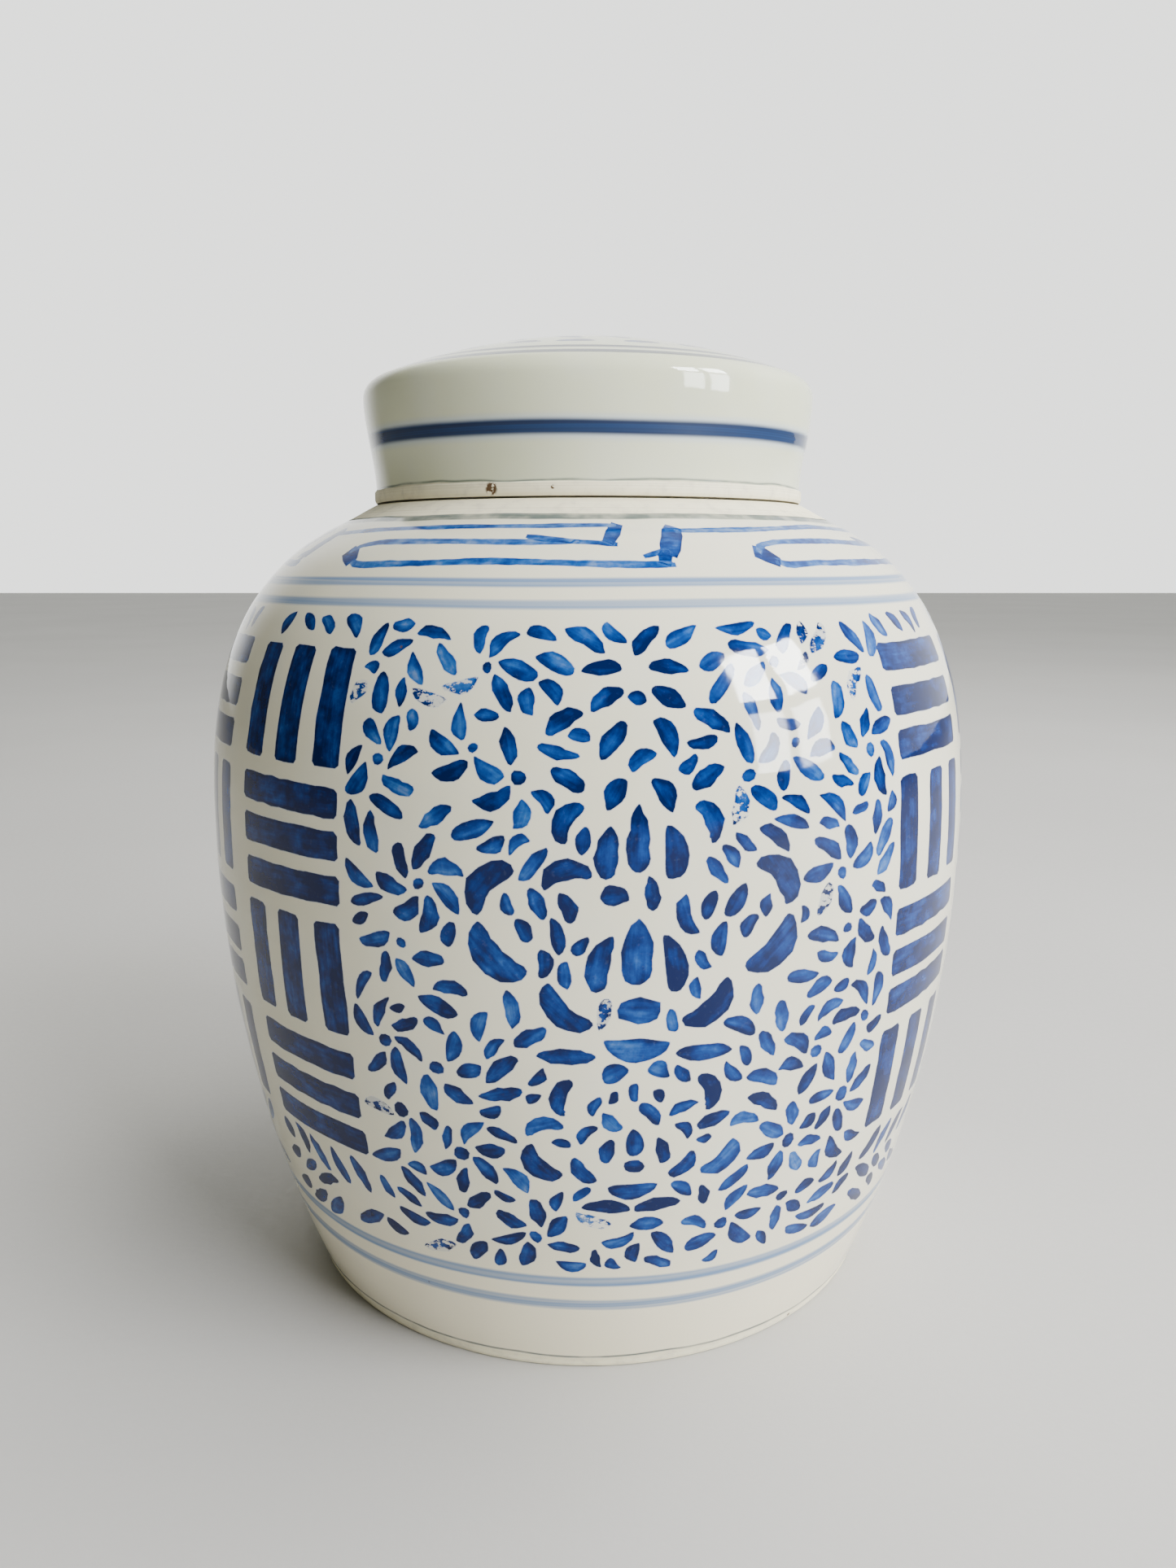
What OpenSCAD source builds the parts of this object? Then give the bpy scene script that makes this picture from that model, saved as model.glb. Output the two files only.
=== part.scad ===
// Ginger jar: a hand-thrown, ovoid porcelain jar with an upright neck and a loose cap lid.
// Millimetres, +Z up. The origin is the centre of the jar's standing face.

/* [Body] */
// Greatest radius of the belly
belly_r = 105; // [90:0.5:120]
// Height of the belly's widest point
belly_z = 124; // [110:1:136]
// Outer radius of the foot
foot_r = 82; // [76:0.5:86]
// Radius at which the glazed shoulder ends
shoulder_r = 66.5; // [64:0.5:70]
// Height at which the glazed shoulder ends
shoulder_z = 206; // [204:0.5:207]
// Thickness of the body's wall
wall_t = 6.5; // [5:0.5:8]

/* [Foot] */
// Width of the foot ring from its outside to its inside
foot_ring_w = 8; // [6:0.5:10]
// Depth of the hollow under the base, inside the foot ring
foot_recess = 5; // [3:0.5:6]
// Thickness of the jar's floor
floor_t = 6.5; // [5:0.5:8]
// Rounding of the foot ring's edges
foot_round = 1.2; // [0.6:0.1:1.8]

/* [Neck] */
// Height of the flat, unglazed seat that the lid rests on
seat_z = 210.2; // [209:0.1:211]
// Outer radius of the seat, where the lid's rim ends
seat_r = 59; // [58:0.5:60]
// Outer radius of the neck
neck_r = 51; // [48:0.5:51.5]
// Height of the neck above the seat
neck_h = 21.5; // [14:0.5:23]
// Thickness of the neck's wall
neck_t = 5; // [4:0.5:6]
// Rounding of the neck's lip
lip_round = 2.2; // [1:0.1:2.4]

/* [Lid] */
// Gap between the lid's rim and its seat
lid_gap = 0.3; // [0.3:0.1:1]
// Height of the lid from its rim to the top of its dome
lid_h = 43.3; // [40:0.1:48]
// Greatest radius of the lid, at its shoulder
lid_r = 61.3; // [60.5:0.1:62.5]
// Height of the lid's shoulder above its rim
lid_shoulder_h = 27.5; // [25:0.5:30]
// Outer radius of the bead round the rim
lid_bead_r = 58.9; // [58.5:0.1:59.5]
// Height of the bead round the rim
lid_bead_h = 3.6; // [3:0.1:5]
// How far the bead stands out from the wall above it
lid_bead_step = 0.5; // [0.3:0.1:0.8]
// Thickness of the lid's wall and dome
lid_t = 5; // [4:0.5:5.5]
// Rounding where the lid's wall turns into its dome
lid_round = 5; // [4:0.5:8]

/* [Hidden] */
$fn = 128;

// Steps along each long curve, and along each small rounding
curve_steps = 16;
round_steps = 6;

glaze_colour = [0.88, 0.88, 0.83];
lid_colour = [0.86, 0.87, 0.82];

rim_z = seat_z + lid_gap;
floor_z = foot_recess + floor_t;
lip_z = seat_z + neck_h;
mouth_r = neck_r - neck_t;
foot_inner_r = foot_r - foot_ring_w;
lid_shoulder_z = rim_z + lid_shoulder_h;
lid_top_z = rim_z + lid_h;

// How far a curve's handles reach, as shares of the stretch that they shape
foot_handle = [0.57, 0.27];
belly_handle = 0.385;
upper_handle = 0.31;
shoulder_handle = [0.965, 0.192];

// Points of a cubic curve from a to d with the handles b and c
function curve(a, b, c, d, steps = curve_steps) =
    [for (i = [0 : steps])
        let (t = i / steps, s = 1 - t)
            s * s * s * a + 3 * s * s * t * b + 3 * s * t * t * c + t * t * t * d];

// Points of an arc of radius r about centre c, from angle a0 to a1
function arc(c, r, a0, a1, steps = round_steps) =
    [for (i = [0 : steps])
        let (a = a0 + (a1 - a0) * i / steps)
            c + r * [cos(a), sin(a)]];

// Lower half of the outer wall, from the foot up to the belly
function lower_wall() =
    curve([foot_r, foot_round],
          [foot_r + foot_handle[0] * (belly_r - foot_r), foot_handle[1] * belly_z],
          [belly_r, (1 - belly_handle) * belly_z],
          [belly_r, belly_z]);

// Upper half of the outer wall, from the belly up to the end of the glaze
function upper_wall() =
    let (reach = belly_r - shoulder_r, rise = shoulder_z - belly_z)
        curve([belly_r, belly_z],
              [belly_r, belly_z + upper_handle * rise],
              [shoulder_r + shoulder_handle[0] * reach, shoulder_z - shoulder_handle[1] * rise],
              [shoulder_r, shoulder_z]);

// Inside of the body, from the bottom of the neck down to the middle of the floor
function inner_wall() =
    let (inner_r = belly_r - wall_t, foot_wall_r = foot_r - wall_t + 4, roof_z = shoulder_z - wall_t)
        concat(curve([mouth_r, seat_z],
                     [mouth_r, seat_z - 6],
                     [mouth_r + 7, roof_z + 3],
                     [shoulder_r - 3, roof_z], round_steps),
               curve([shoulder_r - 3, roof_z],
                     [inner_r - 1.5, roof_z - 15],
                     [inner_r, belly_z + 24],
                     [inner_r, belly_z]),
               curve([inner_r, belly_z],
                     [inner_r, belly_z - 46],
                     [inner_r - 9, belly_z - 88],
                     [foot_wall_r, floor_z + 7]),
               curve([foot_wall_r, floor_z + 7],
                     [foot_wall_r - 3, floor_z + 1.5],
                     [foot_wall_r - 7, floor_z],
                     [foot_wall_r - 14, floor_z], round_steps),
               [[0, floor_z]]);

// Hollow under the base, from its middle out to the standing face
function base_hollow() =
    concat([[0, foot_recess]],
           curve([foot_inner_r - 5, foot_recess],
                 [foot_inner_r - 2, foot_recess],
                 [foot_inner_r, foot_recess * 0.6],
                 [foot_inner_r, foot_round], round_steps),
           arc([foot_inner_r + foot_round, foot_round], foot_round, 180, 270));

// Neck, from the seat up over the lip and down the inside
function neck_wall() =
    concat([[seat_r, seat_z]],
           arc([neck_r + 1, seat_z + 1], 1, 270, 180),
           arc([neck_r - lip_round, lip_z - lip_round], lip_round, 0, 90),
           arc([mouth_r + lip_round, lip_z - lip_round], lip_round, 90, 180));

// Radius of the dome that meets the lid's rounded shoulder and reaches the lid's height
function dome_r(round_r, shoulder_r, rise) =
    let (reach = shoulder_r - round_r)
        (reach * reach + rise * rise - round_r * round_r) / (2 * (rise - round_r));

// The lid's rounded shoulder and dome, from the shoulder's widest point to the axis
function cap_curve(widest_r, widest_z, top_z, round_r) =
    let (big_r = dome_r(round_r, widest_r, top_z - widest_z),
         dome_z = top_z - big_r,
         turn = atan2(widest_z - dome_z, widest_r - round_r))
        concat(arc([widest_r - round_r, widest_z], round_r, 0, turn),
               arc([0, dome_z], big_r, turn, 90, curve_steps));

module jar_body() {
    color(glaze_colour)
        rotate_extrude()
            polygon(concat(base_hollow(),
                           arc([foot_r - foot_round, foot_round], foot_round, 270, 360),
                           lower_wall(),
                           upper_wall(),
                           neck_wall(),
                           inner_wall()));
}

module lid() {
    wall_r = lid_bead_r - lid_bead_step;
    inner_r = lid_r - lid_t;
    rim_inner_r = lid_bead_r - lid_t;
    outside = cap_curve(lid_r, lid_shoulder_z, lid_top_z, lid_round);
    inside = cap_curve(inner_r, lid_shoulder_z - lid_t, lid_top_z - lid_t, lid_round);
    inside_up = [for (i = [len(inside) - 1 : -1 : 0]) inside[i]];
    color(lid_colour)
        rotate_extrude()
            polygon(concat(arc([lid_bead_r - 1.2, rim_z + 1.2], 1.2, 270, 360),
                           arc([lid_bead_r - lid_bead_step, rim_z + lid_bead_h - lid_bead_step],
                               lid_bead_step, 0, 90),
                           curve([wall_r, rim_z + lid_bead_h + 0.01],
                                 [wall_r + 0.2, rim_z + lid_bead_h + 8],
                                 [lid_r, lid_shoulder_z - 8],
                                 [lid_r, lid_shoulder_z]),
                           outside,
                           inside_up,
                           [[rim_inner_r, rim_z + 6]],
                           arc([rim_inner_r + 0.8, rim_z + 0.8], 0.8, 180, 270)));
}

jar_body();
lid();
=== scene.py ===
import math
import random

import bpy
import numpy as np
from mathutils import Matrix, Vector
from mathutils.geometry import delaunay_2d_cdt


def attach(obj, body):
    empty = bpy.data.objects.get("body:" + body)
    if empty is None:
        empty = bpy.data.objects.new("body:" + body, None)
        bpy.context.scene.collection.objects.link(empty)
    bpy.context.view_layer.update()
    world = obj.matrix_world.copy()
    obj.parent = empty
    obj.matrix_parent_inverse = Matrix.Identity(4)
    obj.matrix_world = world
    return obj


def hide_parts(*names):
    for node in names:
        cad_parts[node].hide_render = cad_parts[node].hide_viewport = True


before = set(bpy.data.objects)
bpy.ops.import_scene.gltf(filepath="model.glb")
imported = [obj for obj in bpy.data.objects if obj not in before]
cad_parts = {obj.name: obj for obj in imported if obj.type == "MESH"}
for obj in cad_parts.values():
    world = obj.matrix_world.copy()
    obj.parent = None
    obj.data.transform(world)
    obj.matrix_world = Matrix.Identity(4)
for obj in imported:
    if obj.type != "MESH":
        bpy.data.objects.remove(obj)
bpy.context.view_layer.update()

# Ginger jar. Lengths are in mm until a mesh is made, and the painting is laid out on the unrolled wall:
# X runs round the belly (X = 0 faces -Y) and s runs up the outer wall from the foot.
MM = 0.001
TAU = 2 * math.pi

# ---------------------------------------------------------------- sizes, the same as in part.scad
BELLY_R = 105.0
BELLY_Z = 124.0
FOOT_R = 82.0
SHOULDER_R = 66.5
SHOULDER_Z = 206.0
WALL_T = 6.5
FOOT_RING_W = 8.0
FOOT_RECESS = 5.0
FLOOR_T = 6.5
FOOT_ROUND = 1.2
SEAT_Z = 210.2
SEAT_R = 59.0
NECK_R = 51.0
NECK_H = 21.5
NECK_T = 5.0
LIP_ROUND = 2.2
LID_GAP = 0.3
LID_H = 43.3
LID_R = 61.3
LID_SHOULDER_H = 27.5
LID_BEAD_R = 58.9
LID_BEAD_H = 3.6
LID_BEAD_STEP = 0.5
LID_T = 5.0
LID_ROUND = 5.0
RIM_Z = SEAT_Z + LID_GAP
FLOOR_Z = FOOT_RECESS + FLOOR_T
LIP_Z = SEAT_Z + NECK_H
MOUTH_R = NECK_R - NECK_T
LID_SHOULDER_Z = RIM_Z + LID_SHOULDER_H
LID_TOP_Z = RIM_Z + LID_H
GIRTH = TAU * BELLY_R

# ---------------------------------------------------------------- how the painting is laid out
REPEATS = 3
PITCH = GIRTH / REPEATS
PANEL_X = 10.7            # middle of the panel that faces the front
PANEL_HALF = 67.0
PANEL_S = (34.5, 187.0)
THIRD_X = PANEL_X - PITCH / 2
COLUMN_W = 36.0
COLUMN_GAP = 10.5
COLUMN_S = (60.0, 180.0)
FRET_BASE = 189.0         # the fret's band is meshed apart from the panels below it
FRET_UNITS = 5
CLEARANCE = 1.0           # white channel kept between painted marks
HALO = 0.45               # how far a mark's edge bleeds into the glaze
COLUMNS = 144             # divisions round every turned surface
LATTICE = 4.4             # distance between the points that keep the wall round between the marks


# ---------------------------------------------------------------- sections
def curve(a, b, c, d, steps=40):
    """Points of a cubic curve from a to d with the handles b and c."""
    t = np.linspace(0, 1, steps + 1)[:, None]
    u = 1 - t
    a, b, c, d = (np.array(point) for point in (a, b, c, d))
    return u ** 3 * a + 3 * u * u * t * b + 3 * u * t * t * c + t ** 3 * d


def arc(centre, radius, start, end, steps=6):
    """Points of an arc, with its angles in degrees."""
    angle = np.radians(np.linspace(start, end, steps + 1))
    return np.array(centre) + radius * np.c_[np.cos(angle), np.sin(angle)]


def line(a, b, step=5.0):
    """Points of a straight run from a to b."""
    count = max(1, round(math.dist(a, b) / step))
    t = np.linspace(0, 1, count + 1)[:, None]
    return np.array(a) * (1 - t) + np.array(b) * t


def eased(points, reach=0.3):
    """The section with each sharp corner turned into a small rounding, as glaze and clay leave it."""
    out = [points[0]]
    for before, corner, after in zip(points, points[1:], points[2:]):
        a, b = corner - before, after - corner
        la, lb = np.linalg.norm(a), np.linalg.norm(b)
        if np.dot(a, b) > 0.975 * la * lb:
            out.append(corner)
            continue
        start = corner - a / la * min(reach, la * 0.4)
        end = corner + b / lb * min(reach, lb * 0.4)
        for t in (0, 0.33, 0.67, 1):
            out.append((1 - t) ** 2 * start + 2 * t * (1 - t) * corner + t * t * end)
    out.append(points[-1])
    return np.array(out)


class Section:
    """A section from the axis round to the axis again.

    It holds its points, how far along it they are, and which way is out."""

    def __init__(self, runs, side, origin):
        points = np.vstack(runs)
        apart = np.r_[True, np.linalg.norm(np.diff(points, axis=0), axis=1) > 0.02]
        points = eased(points[apart])
        step = np.diff(points, axis=0)
        size = np.linalg.norm(step, axis=1)
        along = step / size[:, None]
        tangent = np.vstack([along[:1], along[:-1] + along[1:], along[-1:]])
        tangent /= np.linalg.norm(tangent, axis=1)[:, None]
        self.side = side
        self.points = points
        self.normal = side * np.c_[tangent[:, 1], -tangent[:, 0]]
        self.path = np.r_[0, np.cumsum(size)]
        self.path -= self.path_near(origin)

    def path_near(self, point, after=-1e9):
        """How far along the section the place nearest to a point is."""
        far = np.linalg.norm(self.points - np.array(point), axis=1)
        far[self.path < after] = 1e9
        return float(self.path[int(np.argmin(far))])

    def path_reaching(self, radius):
        """How far along the section it first gets out to a radius."""
        return float(self.path[int(np.argmax(self.points[:, 0] >= radius))])

    def at(self, path):
        r = np.interp(path, self.path, self.points[:, 0])
        z = np.interp(path, self.path, self.points[:, 1])
        nr = np.interp(path, self.path, self.normal[:, 0])
        nz = np.interp(path, self.path, self.normal[:, 1])
        size = np.hypot(nr, nz)
        return r, z, nr / size, nz / size

    def rows(self, start, end):
        """Where the turned surface between two places gets its rings of points."""
        inner = self.path[(self.path > start + 0.05) & (self.path < end - 0.05)]
        return np.r_[start, inner, end]


def jar_section():
    foot_inner = FOOT_R - FOOT_RING_W
    reach = BELLY_R - SHOULDER_R
    rise = SHOULDER_Z - BELLY_Z
    inner = BELLY_R - WALL_T
    foot_wall = FOOT_R - WALL_T + 4
    roof = SHOULDER_Z - WALL_T
    lower = curve((FOOT_R, FOOT_ROUND), (FOOT_R + 0.57 * (BELLY_R - FOOT_R), 0.27 * BELLY_Z),
                  (BELLY_R, 0.615 * BELLY_Z), (BELLY_R, BELLY_Z), 120)
    upper = curve((BELLY_R, BELLY_Z), (BELLY_R, BELLY_Z + 0.31 * rise),
                  (SHOULDER_R + 0.965 * reach, SHOULDER_Z - 0.192 * rise), (SHOULDER_R, SHOULDER_Z), 120)
    runs = [line((0, FOOT_RECESS), (foot_inner - 5, FOOT_RECESS), 9),
            curve((foot_inner - 5, FOOT_RECESS), (foot_inner - 2, FOOT_RECESS),
                  (foot_inner, FOOT_RECESS * 0.6), (foot_inner, FOOT_ROUND), 8),
            arc((foot_inner + FOOT_ROUND, FOOT_ROUND), FOOT_ROUND, 180, 270),
            arc((FOOT_R - FOOT_ROUND, FOOT_ROUND), FOOT_ROUND, 270, 360),
            lower, upper,
            line((SHOULDER_R, SHOULDER_Z), (SEAT_R, SEAT_Z), 2),
            line((SEAT_R, SEAT_Z), (NECK_R + 1, SEAT_Z), 3),
            arc((NECK_R + 1, SEAT_Z + 1), 1, 270, 180, 4),
            line((NECK_R, SEAT_Z + 1), (NECK_R, LIP_Z - LIP_ROUND), 4),
            arc((NECK_R - LIP_ROUND, LIP_Z - LIP_ROUND), LIP_ROUND, 0, 90),
            arc((MOUTH_R + LIP_ROUND, LIP_Z - LIP_ROUND), LIP_ROUND, 90, 180),
            line((MOUTH_R, LIP_Z - LIP_ROUND), (MOUTH_R, SEAT_Z), 5),
            curve((MOUTH_R, SEAT_Z), (MOUTH_R, SEAT_Z - 6),
                  (MOUTH_R + 7, roof + 3), (SHOULDER_R - 3, roof), 8),
            curve((SHOULDER_R - 3, roof), (inner - 1.5, roof - 15),
                  (inner, BELLY_Z + 24), (inner, BELLY_Z), 20),
            curve((inner, BELLY_Z), (inner, BELLY_Z - 46),
                  (inner - 9, BELLY_Z - 88), (foot_wall, FLOOR_Z + 7), 20),
            curve((foot_wall, FLOOR_Z + 7), (foot_wall - 3, FLOOR_Z + 1.5), (foot_wall - 7, FLOOR_Z),
                  (foot_wall - 14, FLOOR_Z), 8),
            line((foot_wall - 14, FLOOR_Z), (0, FLOOR_Z), 9)]
    return Section(runs, 1, (FOOT_R, FOOT_ROUND))


def cap(widest_r, widest_z, top_z, steps):
    """The lid's rounded shoulder and its dome, from the shoulder's widest point to the axis."""
    rise = top_z - widest_z
    reach = widest_r - LID_ROUND
    big = (reach * reach + rise * rise - LID_ROUND ** 2) / (2 * (rise - LID_ROUND))
    dome_z = top_z - big
    turn = math.degrees(math.atan2(widest_z - dome_z, reach))
    return [arc((reach, widest_z), LID_ROUND, 0, turn, 10), arc((0, dome_z), big, turn, 90, steps)]


def lid_section():
    wall = LID_BEAD_R - LID_BEAD_STEP
    inner = LID_R - LID_T
    rim_inner = LID_BEAD_R - LID_T
    outside = cap(LID_R, LID_SHOULDER_Z, LID_TOP_Z, 60)
    inside = cap(inner, LID_SHOULDER_Z - LID_T, LID_TOP_Z - LID_T, 20)
    side = curve((wall, RIM_Z + LID_BEAD_H + 0.01), (wall + 0.2, RIM_Z + LID_BEAD_H + 8),
                 (LID_R, LID_SHOULDER_Z - 8), (LID_R, LID_SHOULDER_Z), 18)
    runs = [outside[1][::-1], outside[0][::-1], side[::-1],
            arc((wall, RIM_Z + LID_BEAD_H - LID_BEAD_STEP), LID_BEAD_STEP, 90, 0, 4),
            arc((LID_BEAD_R - 1.2, RIM_Z + 1.2), 1.2, 360, 270, 4),
            arc((rim_inner + 0.8, RIM_Z + 0.8), 0.8, 270, 180, 4),
            line((rim_inner, RIM_Z + 0.8), (rim_inner, RIM_Z + 6), 3),
            line((rim_inner, RIM_Z + 6), (inner, LID_SHOULDER_Z - LID_T), 4),
            inside[0], inside[1]]
    return Section(runs, -1, (0, LID_TOP_Z))


# ---------------------------------------------------------------- outlines of single marks
def leaf(length, width, bend=0.0, belly=0.5, lean=0.0, blunt=0.25, points=8):
    """A brushed leaf along +x. bend lifts its middle, lean flattens one side, blunt fills out its start."""
    t = (1 - np.cos(np.linspace(0, math.pi, points + 1))) / 2
    t = 0.20 * np.linspace(0, 1, points + 1) + 0.80 * t
    swell = np.sin(math.pi * np.clip(t, 0.002, 0.998) ** (math.log(0.5) / math.log(belly)))
    half = width / 2 * swell ** ((0.62 - 0.36 * blunt) * (1 - t) + 0.58 * t)
    x = (t - 0.5) * length
    if abs(bend) < 1.0:
        middle = bend * (4 * t * (1 - t) - 0.67) + half * lean
        spine = np.c_[x, middle]
        off = np.c_[np.zeros_like(half), half]
    else:
        radius = (length ** 2 / 4 + bend ** 2) / (2 * abs(bend))
        angle = x / length * 2 * math.asin(min(1.0, length / 2 / radius))
        out = np.c_[np.sin(angle), math.copysign(1, bend) * np.cos(angle)]
        spine = (radius + half * lean)[:, None] * out - (0, math.copysign(radius - 0.6 * abs(bend), bend))
        off = half[:, None] * out
    outline = np.vstack([spine + off, (spine - off)[::-1]])
    return outline, np.vstack([spine, spine[::-1]])


def bar(length, width, rounding=0.8, step=3.2):
    """A brushed bar along +x with slightly rounded corners."""
    a = length / 2
    b = width / 2
    corners = [(a, -b + rounding), (a, b - rounding), (a - rounding, b), (rounding - a, b),
               (-a, b - rounding), (-a, rounding - b), (rounding - a, -b), (a - rounding, -b)]
    outline = np.vstack([line(p, q, step)[:-1] for p, q in zip(corners, corners[1:] + corners[:1])])
    return outline, np.c_[np.clip(outline[:, 0], b - a, a - b), np.zeros(len(outline))]


def dot(width, height, points=9):
    """A dot laid down with the tip of the brush."""
    angle = np.arange(points) * TAU / points
    outline = np.c_[width / 2 * np.cos(angle), height / 2 * np.sin(angle)]
    return outline, np.zeros_like(outline)


def ribbon(points, widths):
    """A stroke drawn along points, with its width at each of them."""
    points = np.array(points, float)
    ahead = np.gradient(points, axis=0)
    ahead /= np.linalg.norm(ahead, axis=1)[:, None]
    across = np.c_[-ahead[:, 1], ahead[:, 0]] * np.array(widths)[:, None] / 2
    return np.vstack([points + across, (points - across)[::-1]]), np.vstack([points, points[::-1]])


def shaky(shape, rng, amount=0.17):
    """The outline as a hand leaves it, wavering a little."""
    outline, spine = shape
    waver = np.zeros_like(outline)
    for pace in (0.8, 1.7):
        for axis in (0, 1):
            phase = rng.uniform(0, TAU)
            turn = rng.uniform(0, TAU)
            run = outline[:, 0] * math.cos(turn) + outline[:, 1] * math.sin(turn)
            waver[:, axis] += amount * np.sin(pace * run + phase)
    return outline + waver, spine


def grown(outline, by):
    """The outline moved outwards by a distance."""
    ahead = np.roll(outline, -1, 0)
    a = outline - np.roll(outline, 1, 0)
    b = ahead - outline
    a /= np.maximum(np.linalg.norm(a, axis=1), 1e-9)[:, None]
    b /= np.maximum(np.linalg.norm(b, axis=1), 1e-9)[:, None]
    normal = np.c_[a[:, 1] + b[:, 1], -a[:, 0] - b[:, 0]]
    size = np.maximum(np.linalg.norm(normal, axis=1), 0.8)[:, None]
    area = np.sum(outline[:, 0] * ahead[:, 1] - outline[:, 1] * ahead[:, 0])
    return outline + math.copysign(by, area) * 2 * normal / size ** 2


class Mark:
    """One painted mark: its shape in its own mm, its place, which way it points and how it was brushed."""

    def __init__(self, shape, x, s, turn, tone, dry=0.0):
        self.outline, self.spine = shape
        self.x = x
        self.s = s
        self.turn = turn
        self.tone = tone
        self.dry = dry
        self.stretch = 1.0

    def place(self, local):
        c = math.cos(self.turn)
        d = math.sin(self.turn)
        across = local[:, 0] * c - local[:, 1] * d
        up = local[:, 0] * d + local[:, 1] * c
        return np.c_[self.x + across * self.stretch, self.s + up]

    def rings(self):
        """Its rings from outside in: (points in the mark's mm, ink, pool)."""
        half = self.outline - self.spine
        depth = np.linalg.norm(half, axis=1)
        out = [(grown(self.outline, HALO), 0.0, 0.7), (self.outline, 1.0, 1.0)]
        if depth.max() > 1.15:
            shorter = 1 - 0.9 / max(np.abs(self.spine[:, 0] - self.spine[:, 0].mean()).max(), 1.0)
            middle = self.spine.mean(0)
            kept = np.clip(1 - 0.85 / np.maximum(depth, 0.9), 0.1, 1)[:, None]
            within = middle + (self.spine - middle) * (shorter, 1) + half * kept
            out.append((within[::2], 1.0, 0.0))
        return out


class Canvas:
    """The unrolled wall: takes marks one by one and keeps a white channel between them."""

    CELL = 0.3

    def __init__(self, radius_at, x_range, s_range):
        self.radius_at = radius_at
        self.marks = []
        self.low = np.array([x_range[0], s_range[0]])
        shape = ((np.array([x_range[1], s_range[1]]) - self.low) / self.CELL).astype(int) + 1
        self.taken = np.zeros(shape, bool)

    def cells(self, mark, outline):
        half_way = (outline + np.roll(outline, 1, 0)) / 2
        points = mark.place(np.vstack([outline, half_way, outline * 0.66, outline * 0.33]))
        at = ((points - self.low) / self.CELL).round().astype(int)
        return np.clip(at, 0, np.array(self.taken.shape) - 1)

    def room(self, mark):
        mark.stretch = BELLY_R / self.radius_at(mark.s)
        at = self.cells(mark, mark.outline)
        return not self.taken[at[:, 0], at[:, 1]].any()

    def add(self, mark, force=False, clearance=CLEARANCE):
        if not self.room(mark) and not force:
            return False
        reach = int(clearance / self.CELL) + 1
        steps = np.arange(-reach, reach + 1)
        disc = [(i, j) for i in steps for j in steps if math.hypot(i, j) * self.CELL <= clearance]
        at = (self.cells(mark, mark.outline)[:, None] + np.array(disc)[None]).reshape(-1, 2)
        at = np.clip(at, 0, np.array(self.taken.shape) - 1)
        self.taken[at[:, 0], at[:, 1]] = True
        self.marks.append(mark)
        return True


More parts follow.
